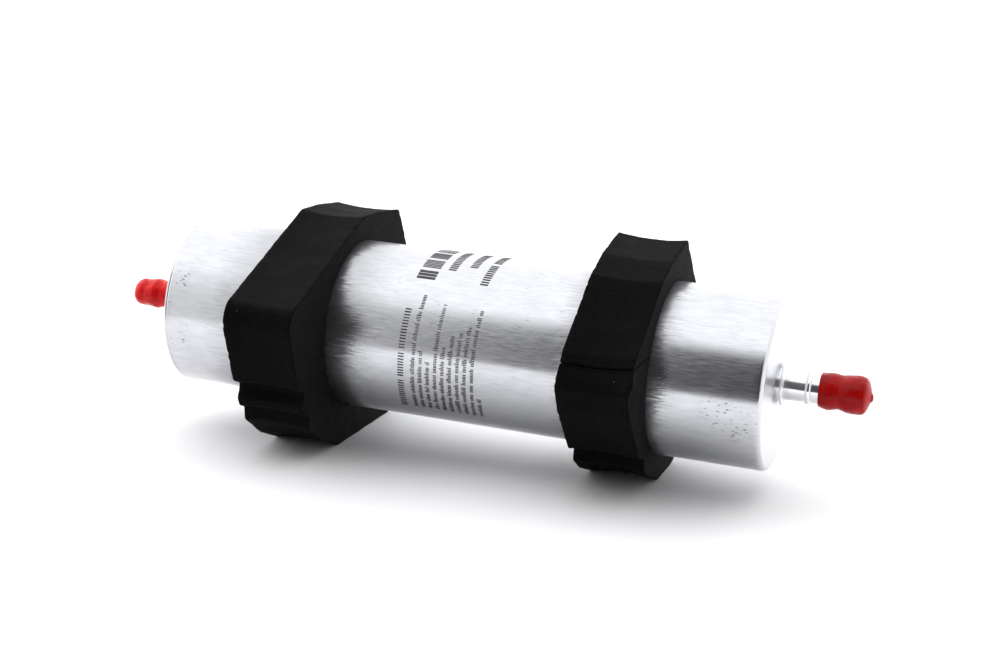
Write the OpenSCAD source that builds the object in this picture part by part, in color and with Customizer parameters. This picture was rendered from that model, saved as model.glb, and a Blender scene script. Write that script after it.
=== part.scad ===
// Inline fuel filter: a drawn aluminium can with a tube spigot in each end, push-on caps
// and two foam isolator rings that it lies on.
//
// Frame: the origin is the middle of the can's inlet end face. +X runs along the can's axis
// and out of the inlet, +Z is up, and -Y is the side that the rings' noses point to.
// Pieces of the outlet end are drawn as if for the inlet end and then mirrored into place.

/* [Can] */
// Outside diameter of the can
can_d = 55; // [50:0.5:60]
// Length of the can from end face to end face
can_len = 199; // [180:1:240]
// Thickness of the can's wall
can_wall = 1.2; // [1:0.1:1.6]
// Thickness of the closed end at the inlet
end_wall = 1.6; // [1.2:0.1:2]
// Rounding of both ends' outer edges
end_round = 1.2; // [0.6:0.1:1.5]
// Width of the rim that is rolled over the outlet lid
rim_width = 4; // [2:0.5:6]

/* [Spigots] */
// Outside diameter of the inlet tube
inlet_tube_d = 9.5; // [8:0.1:12]
// Reach of the inlet tube beyond the end face
inlet_reach = 27; // [25:0.5:32]
// Outside diameter of the outlet tube
outlet_tube_d = 7.9; // [6.3:0.1:9.5]
// Reach of the outlet tube beyond the end face
outlet_reach = 24.4; // [24:0.2:32]
// Distance from the end face to the middle of the stop bead
bead_x = 9.5; // [8:0.5:10]
// Wall of both tubes
tube_wall = 1; // [0.8:0.1:1.2]

/* [Foam rings] */
// Width of each ring along the can
ring_w = 22.8; // [18:0.2:28]
// Distance from each end face to its ring's nearer side
ring_inset = 35.1; // [30:0.1:45]
// Height of the can's axis above the inlet ring's foot
inlet_axis_h = 36.6; // [35.6:0.1:38]
// Height of the can's axis above the outlet ring's foot
outlet_axis_h = 39.3; // [37:0.1:41]

/* [Element] */
// Number of pleats
pleats = 40; // [24:1:44]
// Thickness of the filter medium
paper_t = 0.4; // [0.3:0.05:0.5]
// Turns of the element's spring
spring_turns = 3.5; // [2.5:0.5:4.5]

/* [Hidden] */
$fn = 96;

// Clearances
slip = 0.05;            // between pieces that slide or are pushed together
ring_cut = 0.4;         // the cut through the inlet foam ring

// Can
can_r = can_d / 2;
bore_r = can_r - can_wall;
mouth_r = bore_r + 0.4; // the wall is thinner where the lid sits
rim_t = 1;              // thickness of the rolled rim
lid_t = 6;
lid_x = -rim_t - lid_t; // inner face of the lid, seen from the outlet face
lid_groove_x = -4.1;    // middle of the lid seal's groove
lid_groove_w = 2.6;
lid_groove_t = 2.1;

// Spigots
step = 1;               // how far the thicker stem stands out of the end face
collar_t = 0.9;
flange_t = 2.4;
stub_len = 9.6;         // inner stub of the outlet tube, inside the element's neck
stub_r = 5;
stem_more = 0.4;        // stem radius beyond the tube's
collar_more = 1.75;     // collar radius beyond the tube's
bead_more = 0.65;       // bead radius beyond the tube's
bead_half = 0.9;
flange_more = 4.2;      // inner flange radius beyond the tube's
groove_in = 0.6;        // stem seal's groove: inner edge, width and depth
groove_w = 1.6;
groove_t = 1.3;
inlet_r = inlet_tube_d / 2;
outlet_r = outlet_tube_d / 2;

// Element, measured from the inlet face
diffuser_r = 19;
diffuser_x = -9;
sheet = 0.8;            // thickness of the pressed steel pieces
seat_x = -20;
disc_r = can_r - 2.9;
disc_rim = 6;
potting_t = 3.1;
media_r = 23;
media_in = 10.5;
tube_r = 9.45;          // centre tube, outside
neck_r = 8.6;           // outlet disc's neck, outside
neck_len = 9;
out_disc_x = -can_len - lid_x + flange_t + 2 * sheet; // inner face of the outlet disc
spring_r = 9.6;
wire_r = 0.7;

// --- Helpers -----------------------------------------------------------------------------

// Points of an arc about (cx, cy)
function arc(cx, cy, rx, ry, a0, a1, n = 8) =
    [for (i = [0 : n]) let (a = a0 + (a1 - a0) * i / n) [cx + rx * cos(a), cy + ry * sin(a)]];

// Points that round the corner b, between a and c, with radius r
function corner(a, b, c, r, n) =
    let (u = (a - b) / norm(a - b),
         v = (c - b) / norm(c - b),
         half = acos(u * v) / 2,
         middle = b + (u + v) / norm(u + v) * r / sin(half),
         first = b + u * r / tan(half) - middle,
         last = b + v * r / tan(half) - middle,
         a0 = atan2(first.y, first.x),
         raw = atan2(last.y, last.x) - a0,
         sweep = raw > 180 ? raw - 360 : raw < -180 ? raw + 360 : raw)
    [for (i = [0 : n]) middle + r * [cos(a0 + sweep * i / n), sin(a0 + sweep * i / n)]];

// Closed outline from [y, z, corner radius] points
function rounded(p, n = 6) =
    let (m = len(p))
    [for (i = [0 : m - 1])
        let (a = p[(i + m - 1) % m], b = p[i], c = p[(i + 1) % m])
        each corner([a.x, a.y], [b.x, b.y], [c.x, c.y], b.z, n)];

function polar(r, a) = [r * cos(a), r * sin(a)];

// Solid of revolution about the X axis, from [x, radius] points
module turned(profile) {
    rotate([0, 90, 0])
        rotate_extrude()
            polygon([for (p = profile) [p.y, p.x]]);
}

// Ring about the X axis, from x0 to x1 and from radius r0 to r1
module band(x0, x1, r0, r1) {
    turned([[x0, r0], [x0, r1], [x1, r1], [x1, r0]]);
}

// Ring of round section about the X axis
module o_ring(x, ring_r, section_r) {
    translate([x, 0, 0])
        rotate([0, 90, 0])
            rotate_extrude()
                translate([ring_r, 0])
                    circle(r = section_r, $fn = 32);
}

// Prism along X from a Y-Z outline
module prism(outline, x0, x1) {
    translate([x0, 0, 0])
        rotate([90, 0, 90])
            linear_extrude(x1 - x0)
                polygon(outline);
}

// Puts a piece drawn for the inlet end on the outlet end
module at_outlet() {
    translate([-can_len, 0, 0])
        mirror([1, 0, 0])
            children();
}

// --- Can and lid -------------------------------------------------------------------------

module can() {
    hole_r = inlet_r + stem_more + slip;
    far = -can_len;
    color("gainsboro")
        turned(concat(
            [[0, hole_r]],
            arc(-end_round, can_r - end_round, end_round, end_round, 0, 90),
            arc(far + end_round, can_r - end_round, end_round, end_round, 90, 180),
            [[far, can_r - rim_width],
             [far + rim_t, can_r - rim_width],
             [far + rim_t, mouth_r],
             [far + rim_t + lid_t, mouth_r],
             [far + rim_t + lid_t, bore_r],
             [-end_wall, bore_r],
             [-end_wall, hole_r]]));
}

module outlet_lid() {
    edge_r = mouth_r - slip;
    seal_r = edge_r - lid_groove_t;
    groove_near = lid_groove_x + lid_groove_w / 2;
    groove_far = lid_groove_x - lid_groove_w / 2;
    boss_r = 12;
    pocket = 3;
    color("silver")
        at_outlet()
            turned([
                [0, outlet_r + stem_more + slip],
                [0, boss_r - 1],
                [-1, boss_r],
                [-rim_t, edge_r],
                [groove_near, edge_r],
                [groove_near, seal_r],
                [groove_far, seal_r],
                [groove_far, edge_r],
                [lid_x, edge_r],
                [lid_x, seal_r - 2],
                [lid_x + pocket, seal_r - 3],
                [lid_x + pocket, boss_r],
                [lid_x, boss_r],
                [lid_x, outlet_r + stem_more + slip]]);
}

module lid_seal() {
    color("black")
        at_outlet()
            o_ring(lid_groove_x, mouth_r - lid_groove_t / 2 - slip, 1);
}

// --- Spigots -----------------------------------------------------------------------------

// Tube through an end wall, with a bead outside and a flange inside
module spigot(r, reach, wall, stub, stub_out) {
    groove_r = r + stem_more + groove_in;
    back = -wall - flange_t;
    turned(concat(
        [[back - stub, r - tube_wall],
         [back - stub, stub_out],
         [back, stub_out],
         [back, r + flange_more],
         [-wall, r + flange_more],
         [-wall, groove_r + groove_w],
         [-wall - groove_t, groove_r + groove_w],
         [-wall - groove_t, groove_r],
         [-wall, groove_r],
         [-wall, r + stem_more],
         [step, r + stem_more],
         [step, r]],
        arc(bead_x, r, bead_half, bead_more, 180, 0),
        [[reach - 0.8, r],
         [reach, r - 0.6],
         [reach, r - tube_wall]]));
}

// Washer pushed on over the tube, up to the stem
module collar(r) {
    edge_r = r + collar_more;
    turned([
        [step, r + slip],
        [step, edge_r - 0.2],
        [step + 0.2, edge_r],
        [step + collar_t - 0.2, edge_r],
        [step + collar_t, edge_r - 0.2],
        [step + collar_t, r + slip]]);
}

module stem_seal(r, wall) {
    o_ring(-wall - groove_t / 2, r + stem_more + groove_in + groove_w / 2, 0.6);
}

module inlet_spigot() {
    color("lightgray") spigot(inlet_r, inlet_reach, end_wall, 0, inlet_r + flange_more);
}

module inlet_collar() {
    color("silver") collar(inlet_r);
}

module inlet_stem_seal() {
    color("black") stem_seal(inlet_r, end_wall);
}

module outlet_spigot() {
    color("lightgray") at_outlet() spigot(outlet_r, outlet_reach, -lid_x, stub_len, stub_r);
}

module outlet_collar() {
    color("silver") at_outlet() collar(outlet_r);
}

module outlet_stem_seal() {
    color("black") at_outlet() stem_seal(outlet_r, -lid_x);
}

// --- Caps --------------------------------------------------------------------------------

// Dipped cap over a tube's end. shape holds [distance from the tube's tip, radius] points of
// the outside, from the open end to the closed one; the last point lies on the axis.
module cap(r, reach, shape) {
    tip = reach + slip;
    mouth = reach + shape[0].x;
    turned(concat(
        [[mouth, r + slip]],
        [for (p = shape) [reach + p.x, p.y]],
        [[tip, 0],
         [tip, r - 0.6 + slip],
         [tip - 0.8, r + slip]]));
}

module inlet_cap() {
    color("red")
        cap(inlet_r, inlet_reach, [
            [-14.2, 5.35], [-13.2, 5.45], [-11.5, 5.2], [-9, 5.3], [-6.5, 5.7], [-4.5, 6],
            [-2, 5.9], [-0.4, 5.4], [0.6, 4.2], [1.1, 2.2], [1.4, 1.2], [1.9, 0.6], [1.9, 0]]);
}

module outlet_cap() {
    color("red")
        at_outlet()
            cap(outlet_r, outlet_reach, [
                [-12.4, 4.7], [-11.2, 4.65], [-9.5, 4.5], [-7, 4.95], [-5.5, 4.8], [-3, 4.5],
                [-1, 4.45], [0.4, 3.9], [1.3, 2.7], [1.8, 1.3], [1.9, 0]]);
}

// --- Foam rings --------------------------------------------------------------------------

// Outlines seen along +X, as [y, z, corner radius], from the top of the back over the nose
inlet_ring_outline = [
    [11.6, 38.9, 1.5], [-6, 35.4, 6], [-17.4, 30.8, 5], [-42.4, 12.4, 5], [-48.8, 3.2, 4],
    [-43.7, -6, 8], [-29.1, -21.9, 1], [-22.9, -23.5, 1], [-22.9, -27.5, 1.5], [-15.5, -32, 5],
    [-3, -inlet_axis_h, 6], [17.3, -inlet_axis_h, 10], [38, -17, 8], [37.5, 13, 8]];

outlet_ring_outline = [
    [31.2, 33.1, 3], [12, 35.1, 12], [0.6, 35.4, 3], [-56, 12.8, 7], [-46.1, -12, 1],
    [-41.3, -13.9, 1], [-42.7, -18.6, 1.5], [-41.3, -21.3, 1], [-37.8, -22.7, 0.8],
    [-37.2, -27, 2.5], [-26, -34.4, 5], [-13.5, -outlet_axis_h, 6], [32, -outlet_axis_h, 6],
    [42.5, -9, 8], [42.2, 14.2, 8]];

module foam_ring(outline, x0) {
    difference() {
        prism(rounded(outline), x0, x0 + ring_w);
        rotate([0, 90, 0])
            translate([0, 0, x0 - 1])
                cylinder(r = can_r + slip, h = ring_w + 2);
    }
}

module inlet_foam_ring() {
    x0 = -ring_inset - ring_w;
    cut_z = 9.2;
    color("dimgray")
        difference() {
            foam_ring(inlet_ring_outline, x0);
            translate([x0 - 1, -can_r - 30, cut_z - ring_cut / 2])
                cube([ring_w + 2, 30 + can_r / 2, ring_cut]);
        }
}

module outlet_foam_ring() {
    color("dimgray") foam_ring(outlet_ring_outline, -can_len + ring_inset);
}

// --- Inside the can ----------------------------------------------------------------------

module flow_diffuser() {
    window_r = 2;
    windows = 4;
    color("silver")
        difference() {
            turned([
                [-end_wall - slip, diffuser_r],
                [diffuser_x - sheet, diffuser_r],
                [diffuser_x - sheet, 0],
                [diffuser_x, 0],
                [diffuser_x, diffuser_r - sheet],
                [-end_wall - slip, diffuser_r - sheet]]);
            for (i = [0 : windows - 1])
                rotate([i * 180 / windows, 0, 0])
                    translate([(diffuser_x - end_wall) / 2, 0, 0])
                        cylinder(r = window_r, h = 2 * diffuser_r + 2, center = true);
        }
}

module element_spring() {
    sides = 6;
    per_turn = 16;
    rings = spring_turns * per_turn;
    x0 = seat_x + sheet + wire_r + slip;
    x1 = diffuser_x - sheet - wire_r - slip;
    points = [for (i = [0 : rings], j = [0 : sides - 1])
        let (turn = 360 * i / per_turn,
             around = 360 * j / sides,
             r = spring_r + wire_r * cos(around))
        [x0 + (x1 - x0) * i / rings + wire_r * sin(around), r * cos(turn), r * sin(turn)]];
    skin = [for (i = [0 : rings - 1], j = [0 : sides - 1])
        let (k = (j + 1) % sides)
        [i * sides + j, i * sides + k, (i + 1) * sides + k, (i + 1) * sides + j]];
    start = [for (j = [sides - 1 : -1 : 0]) j];
    finish = [for (j = [0 : sides - 1]) rings * sides + j];
    color("slategray") polyhedron(points, concat(skin, [start, finish]));
}

module spring_seat() {
    hat_r = spring_r - wire_r - 0.4;
    hat_h = 2.2;
    color("silver")
        turned([
            [seat_x, 0],
            [seat_x, 13],
            [seat_x + sheet, 13],
            [seat_x + sheet, hat_r],
            [seat_x + sheet + hat_h, hat_r - 0.6],
            [seat_x + sheet + hat_h, 0]]);
}

module inlet_end_disc() {
    color("silver")
        turned([
            [seat_x, 0],
            [seat_x, disc_r],
            [seat_x - disc_rim, disc_r],
            [seat_x - disc_rim, disc_r - sheet],
            [seat_x - sheet, disc_r - sheet],
            [seat_x - sheet, 0]]);
}

module inlet_potting() {
    color("tan")
        band(seat_x - sheet - slip - potting_t, seat_x - sheet - slip,
             tube_r + slip, disc_r - sheet - slip);
}

module filter_media() {
    x0 = out_disc_x + 2 * slip + potting_t;
    x1 = seat_x - sheet - 2 * slip - potting_t;
    pitch = 360 / pleats;
    tip = 1.6;                       // half the width of an outer fold, degrees
    fold = 0.8;                      // half the width of an inner fold, degrees
    thin_out = paper_t / media_r * 180 / PI;
    thin_in = paper_t / media_in * 180 / PI;
    outside = [for (k = [0 : pleats - 1]) each [
        polar(media_r, k * pitch - tip),
        polar(media_r, k * pitch + tip),
        polar(media_in + paper_t, (k + 0.5) * pitch - fold),
        polar(media_in + paper_t, (k + 0.5) * pitch + fold)]];
    inside = [for (k = [0 : pleats - 1]) each [
        polar(media_r - paper_t, k * pitch - tip + thin_out),
        polar(media_r - paper_t, k * pitch + tip - thin_out),
        polar(media_in, (k + 0.5) * pitch - fold - thin_in),
        polar(media_in, (k + 0.5) * pitch + fold + thin_in)]];
    color("wheat")
        difference() {
            prism(outside, x0, x1);
            prism(inside, x0 - 1, x1 + 1);
        }
}

module pleat_bands() {
    band_w = 5;
    count = 3;
    first = out_disc_x + disc_rim;
    span = seat_x - disc_rim - first;
    color("ivory")
        for (i = [1 : count])
            let (x = first + span * i / (count + 1) - band_w / 2)
            band(x, x + band_w, media_r + slip, media_r + slip + 0.6);
}

module centre_tube() {
    hole_r = 2;
    rows = 12;
    ways = 3;
    x0 = out_disc_x + slip;
    x1 = seat_x - sheet - slip;
    color("silver")
        difference() {
            band(x0, x1, tube_r - sheet, tube_r);
            for (i = [1 : rows], j = [0 : ways - 1])
                rotate([60 * j + 30 * (i % 2), 0, 0])
                    translate([x0 + (x1 - x0) * i / (rows + 1), 0, 0])
                        cylinder(r = hole_r, h = 2 * tube_r + 2, center = true);
        }
}

module outlet_potting() {
    color("tan")
        band(out_disc_x + slip, out_disc_x + slip + potting_t,
             tube_r + slip, disc_r - sheet - slip);
}

module outlet_end_disc() {
    color("silver")
        turned([
            [out_disc_x - sheet, neck_r - sheet],
            [out_disc_x - sheet, disc_r],
            [out_disc_x + disc_rim - sheet, disc_r],
            [out_disc_x + disc_rim - sheet, disc_r - sheet],
            [out_disc_x, disc_r - sheet],
            [out_disc_x, neck_r],
            [out_disc_x + neck_len, neck_r],
            [out_disc_x + neck_len, neck_r - sheet]]);
}

module outlet_grommet() {
    face = -can_len - lid_x + flange_t;
    back = out_disc_x - sheet;
    color("black")
        turned([
            [face + slip, stub_r + slip],
            [face + slip, stub_r + 5],
            [back - slip, stub_r + 5],
            [back - slip, neck_r - sheet - slip],
            [face + stub_len - 1, neck_r - sheet - slip],
            [face + stub_len - 1, stub_r + slip]]);
}

can();
outlet_lid();
lid_seal();
inlet_spigot();
inlet_collar();
inlet_stem_seal();
outlet_spigot();
outlet_collar();
outlet_stem_seal();
inlet_cap();
outlet_cap();
inlet_foam_ring();
outlet_foam_ring();
flow_diffuser();
element_spring();
spring_seat();
inlet_end_disc();
inlet_potting();
filter_media();
pleat_bands();
centre_tube();
outlet_potting();
outlet_end_disc();
outlet_grommet();
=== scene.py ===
import math
import random

import bmesh
import bpy
import numpy as np
from mathutils import Matrix, Vector, noise


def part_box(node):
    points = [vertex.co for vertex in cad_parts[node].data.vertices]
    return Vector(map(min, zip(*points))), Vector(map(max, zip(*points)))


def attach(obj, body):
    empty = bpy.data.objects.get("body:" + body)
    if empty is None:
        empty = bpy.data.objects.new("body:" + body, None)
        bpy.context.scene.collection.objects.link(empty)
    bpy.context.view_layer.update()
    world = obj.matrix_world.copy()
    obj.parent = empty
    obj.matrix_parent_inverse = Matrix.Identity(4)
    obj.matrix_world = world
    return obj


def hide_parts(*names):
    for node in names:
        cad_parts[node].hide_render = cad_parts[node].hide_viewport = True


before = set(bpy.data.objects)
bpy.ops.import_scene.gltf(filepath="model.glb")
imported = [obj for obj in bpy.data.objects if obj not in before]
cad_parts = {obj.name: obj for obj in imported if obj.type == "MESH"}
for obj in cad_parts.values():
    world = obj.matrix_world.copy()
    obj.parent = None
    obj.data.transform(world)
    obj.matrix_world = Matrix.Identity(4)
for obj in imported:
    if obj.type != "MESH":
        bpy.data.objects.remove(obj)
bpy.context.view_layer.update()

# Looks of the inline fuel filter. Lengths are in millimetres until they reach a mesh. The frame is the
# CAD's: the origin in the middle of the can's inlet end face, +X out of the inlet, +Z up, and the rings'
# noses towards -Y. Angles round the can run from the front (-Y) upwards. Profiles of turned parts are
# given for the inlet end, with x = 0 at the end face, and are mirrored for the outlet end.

MM = 0.001
CAN_BODY = "can_assembly"   # the body of the can and of everything fixed to it


# --- Sizes from the frame --------------------------------------------------------------------

def span(node):
    """Lowest and highest corner of a CAD node, in millimetres."""
    low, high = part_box(node)
    return np.array(low) / MM, np.array(high) / MM


can_low, can_high = span("can")
CAN_R = can_high[1]
CAN_LEN = can_high[0] - can_low[0]
FEET = []
for ring_node in ("outlet_foam_ring", "inlet_foam_ring"):
    ring_low, ring_high = span(ring_node)
    FEET.append(((ring_low[0] + ring_high[0]) / 2, ring_low[2]))

SLIP = 0.05          # gap between parts that fit into one another

# Can and lid
WALL = 1.2
END_WALL = 1.6
END_ROUND = 1.7      # the visible edge is a little softer than the CAD's
RIM_ROUND = 0.6      # and the rolled rim is a little sharper
RIM_T = 1.0
RIM_W = 4.0
LID_T = 6.0
LID_STEP = 0.4       # the can's wall is this much thinner round the lid
LID_GROOVE = (-2.8, -5.4)   # from and to, of the O-ring's groove in the lid's edge
LID_GROOVE_DEPTH = 2.1
BOSS_R = 12.0        # the lid's raised middle
LINE_HALF = 0.25     # half the width of the fine line beside the rolled rim
LINE_DEPTH = 0.12

# Spigots and washers. What is called more is measured outward from the tube's own radius
INLET_R = 4.75
OUTLET_R = 3.95
TUBE_WALL = 1.0
STEP = 1.0
STEM_MORE = 0.4
COLLAR_T = 0.9
COLLAR_MORE = 1.75
FLANGE_T = 2.4
FLANGE_MORE = 4.2
GROOVE_MORE = 0.6    # from the stem to the bottom of the O-ring's groove in the flange
GROOVE_HIGH = 1.6
GROOVE_DEEP = 1.3
BEAD_X = 9.5
BEAD_MORE = 0.65
BEAD_HALF = 0.9
STUB_LEN = 9.6
STUB_R = 5.0


def floor_z(x):
    """Height of the floor, which slopes a little because the two rings aren't equally thick below."""
    (x0, z0), (x1, z1) = FEET
    return z0 + (z1 - z0) * (x - x0) / (x1 - x0)


# --- Mesh helpers ----------------------------------------------------------------------------

ARC_STEPS = 6


def rounded(points):
    """Closed polyline through [a, b, fillet radius] points, with each corner turned into an arc."""
    out = []
    count = len(points)
    for i, (*here, radius) in enumerate(points):
        here = np.array(here, float)
        if radius <= 0:
            out.append(here)
            continue
        before = np.array(points[i - 1][:2], float) - here
        after = np.array(points[(i + 1) % count][:2], float) - here
        u, v = before / np.linalg.norm(before), after / np.linalg.norm(after)
        half = math.acos(max(-1.0, min(1.0, float(u @ v)))) / 2
        if half > math.radians(89):
            out.append(here)
            continue
        room = 0.49 * min(np.linalg.norm(before), np.linalg.norm(after))
        radius = min(radius, room * math.tan(half))
        bisector = (u + v) / np.linalg.norm(u + v)
        middle = here + bisector * radius / math.sin(half)
        start = here + u * radius / math.tan(half) - middle
        end = here + v * radius / math.tan(half) - middle
        first = math.atan2(start[1], start[0])
        sweep = math.atan2(end[1], end[0]) - first
        sweep = (sweep + math.pi) % (2 * math.pi) - math.pi
        for k in range(ARC_STEPS + 1):
            angle = first + sweep * k / ARC_STEPS
            out.append(middle + radius * np.array([math.cos(angle), math.sin(angle)]))
    return np.array(out)


def resample(points, step):
    """Points at equal distances along a closed polyline."""
    closed = np.vstack([points, points[:1]])
    lengths = np.r_[0, np.cumsum(np.linalg.norm(np.diff(closed, axis=0), axis=1))]
    count = int(round(lengths[-1] / step))
    at = np.linspace(0, lengths[-1], count, endpoint=False)
    return np.column_stack([np.interp(at, lengths, closed[:, i]) for i in range(2)])


def make_piece(name, points, faces, material, body, replaced=(), weighted=False):
    """A mesh piece from millimetre points that rides on a body of the frame."""
    mesh = bpy.data.meshes.new(name)
    mesh.from_pydata((np.asarray(points) * MM).tolist(), [], faces)
    work = bmesh.new()
    work.from_mesh(mesh)
    bmesh.ops.remove_doubles(work, verts=work.verts, dist=1e-7)
    bmesh.ops.recalc_face_normals(work, faces=work.faces)
    work.to_mesh(mesh)
    work.free()
    mesh.shade_smooth()
    mesh.materials.append(material)
    piece = bpy.data.objects.new(name, mesh)
    bpy.context.scene.collection.objects.link(piece)
    if weighted:
        piece.modifiers.new("even_normals", "WEIGHTED_NORMAL").weight = 100
    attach(piece, body)
    if replaced:
        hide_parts(*replaced)
    return piece


def grid_faces(rows, columns, wrap_rows, wrap_columns):
    """Quads of a grid of points stored row by row."""
    faces = []
    for i in range(rows if wrap_rows else rows - 1):
        for j in range(columns if wrap_columns else columns - 1):
            a, b = i * columns, ((i + 1) % rows) * columns
            k = (j + 1) % columns
            faces.append((a + j, a + k, b + k, b + j))
    return faces


def turned(name, profile, material, replaced, mirror=False, sides=160, change=None):
    """Piece of the can's body, turned about the X axis from [x, radius, fillet] points. change moves
    its points."""
    line = rounded(profile)
    angles = np.linspace(0, 2 * math.pi, sides, endpoint=False)
    x = np.repeat(line[:, 0], sides)
    r = np.repeat(line[:, 1], sides)
    a = np.tile(angles, len(line))
    if change:
        x, r = change(x, r, a)
    if mirror:
        x = -CAN_LEN - x
    points = np.column_stack([x, -r * np.cos(a), r * np.sin(a)])
    faces = grid_faces(len(line), sides, True, True)
    make_piece(name, points, faces, material, CAN_BODY, replaced, weighted=True)


# --- Material helpers ------------------------------------------------------------------------

def add_node(tree, kind, inputs, **settings):
    """A new node whose inputs are either plain values or other nodes' outputs."""
    made = tree.nodes.new(kind)
    for key, value in settings.items():
        setattr(made, key, value)
    for key, value in inputs.items():
        if isinstance(value, bpy.types.NodeSocket):
            tree.links.new(value, made.inputs[key])
        else:
            made.inputs[key].default_value = value
    return made


class Recipe:
    """A node material that is put together from the surface back to its textures."""

    def __init__(self, name, **shader):
        self.material = bpy.data.materials.new(name)
        self.material.use_nodes = True
        self.tree = self.material.node_tree
        self.shader = self.tree.nodes["Principled BSDF"]
        for socket, value in shader.items():
            self.shader.inputs[socket.replace("_", " ")].default_value = value
        self.place = self.tree.nodes.new("ShaderNodeTexCoord").outputs["Object"]

    def node(self, kind, inputs, **settings):
        """A new node of this material."""
        return add_node(self.tree, kind, inputs, **settings)

    def stretched(self, x, y, z):
        """Object coordinates times x, y and z, in cycles per metre."""
        return self.node("ShaderNodeMapping", {"Vector": self.place, "Scale": (x, y, z)}).outputs[0]

    def noise(self, vector, scale=1.0, detail=2.0, roughness=0.5):
        """Cloudy noise, mostly between 0.25 and 0.75."""
        made = self.node("ShaderNodeTexNoise", {"Vector": vector, "Scale": scale, "Detail": detail,
                                                "Roughness": roughness})
        return made.outputs["Fac"]

    def cells(self, vector, scale):
        """Distance to the nearest of scattered points."""
        return self.node("ShaderNodeTexVoronoi", {"Vector": vector, "Scale": scale}).outputs["Distance"]

    def ramp(self, value, low, high, to_low=0.0, to_high=1.0):
        """to_low where the value is low, to_high where it is high, and straight in between."""
        made = self.node("ShaderNodeMapRange", {"Value": value, "From Min": low, "From Max": high,
                                                "To Min": to_low, "To Max": to_high})
        return made.outputs["Result"]

    def math(self, operation, a, b=0.0):
        """Result of one arithmetic node."""
        return self.node("ShaderNodeMath", {0: a, 1: b}, operation=operation).outputs[0]

    def mix(self, factor, a, b):
        """Colour a where factor is 0, and b where it is 1."""
        made = self.tree.nodes.new("ShaderNodeMix")
        made.data_type = "RGBA"
        for socket, value in ((made.inputs[0], factor), (made.inputs[6], a), (made.inputs[7], b)):
            if isinstance(value, bpy.types.NodeSocket):
                self.tree.links.new(value, socket)
            else:
                socket.default_value = (*value, 1.0) if hasattr(value, "__len__") else value
        return made.outputs[2]

    def lean(self, value, amount):
        """Surface normal that leans along X by up to half the amount, as the value runs from 0 to 1."""
        lean = self.product(self.math("SUBTRACT", value, 0.5), amount)
        lean = self.node("ShaderNodeCombineXYZ", {"X": lean}).outputs[0]
        normal = self.node("ShaderNodeNewGeometry", {}).outputs["Normal"]
        total = self.node("ShaderNodeVectorMath", {0: normal, 1: lean}, operation="ADD").outputs[0]
        return self.node("ShaderNodeVectorMath", {0: total}, operation="NORMALIZE").outputs[0]

    def bump(self, *layers, normal=None):
        """Bumps of (height socket, height in mm) laid on one another."""
        for height, size in layers:
            inputs = {"Height": height, "Distance": size * MM, "Strength": 1.0}
            if normal:
                inputs["Normal"] = normal
            normal = self.node("ShaderNodeBump", inputs).outputs[0]
        self.tree.links.new(normal, self.shader.inputs["Normal"])

    def product(self, *values):
        """All the values multiplied together."""
        total = values[0]
        for value in values[1:]:
            total = self.math("MULTIPLY", total, value)
        return total

    def set(self, socket, value):
        """Feeds an input of the surface shader."""
        self.tree.links.new(value, self.shader.inputs[socket])


SCRATCH_DEPTH = 0.004
BLACK = (0.0, 0.0, 0.0)
SPECK_GREY = (0.08, 0.08, 0.09)
PIT_GREY = (0.05, 0.05, 0.055)
# Lighter metal of the inlet end face: painted highlight
END_FACE_HIGHLIGHT = (0.68, 0.68, 0.7)
END_FACE_ROUGHER = 0.15
# Beside each foam ring: added roughness, scratch lean, and darkening that is a painted reflection of the
# ring
RING_BAND_ROUGHER = 0.16
RING_BAND_LEAN = 0.22
RING_REFLECTION_DARKER = 0.24


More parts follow.
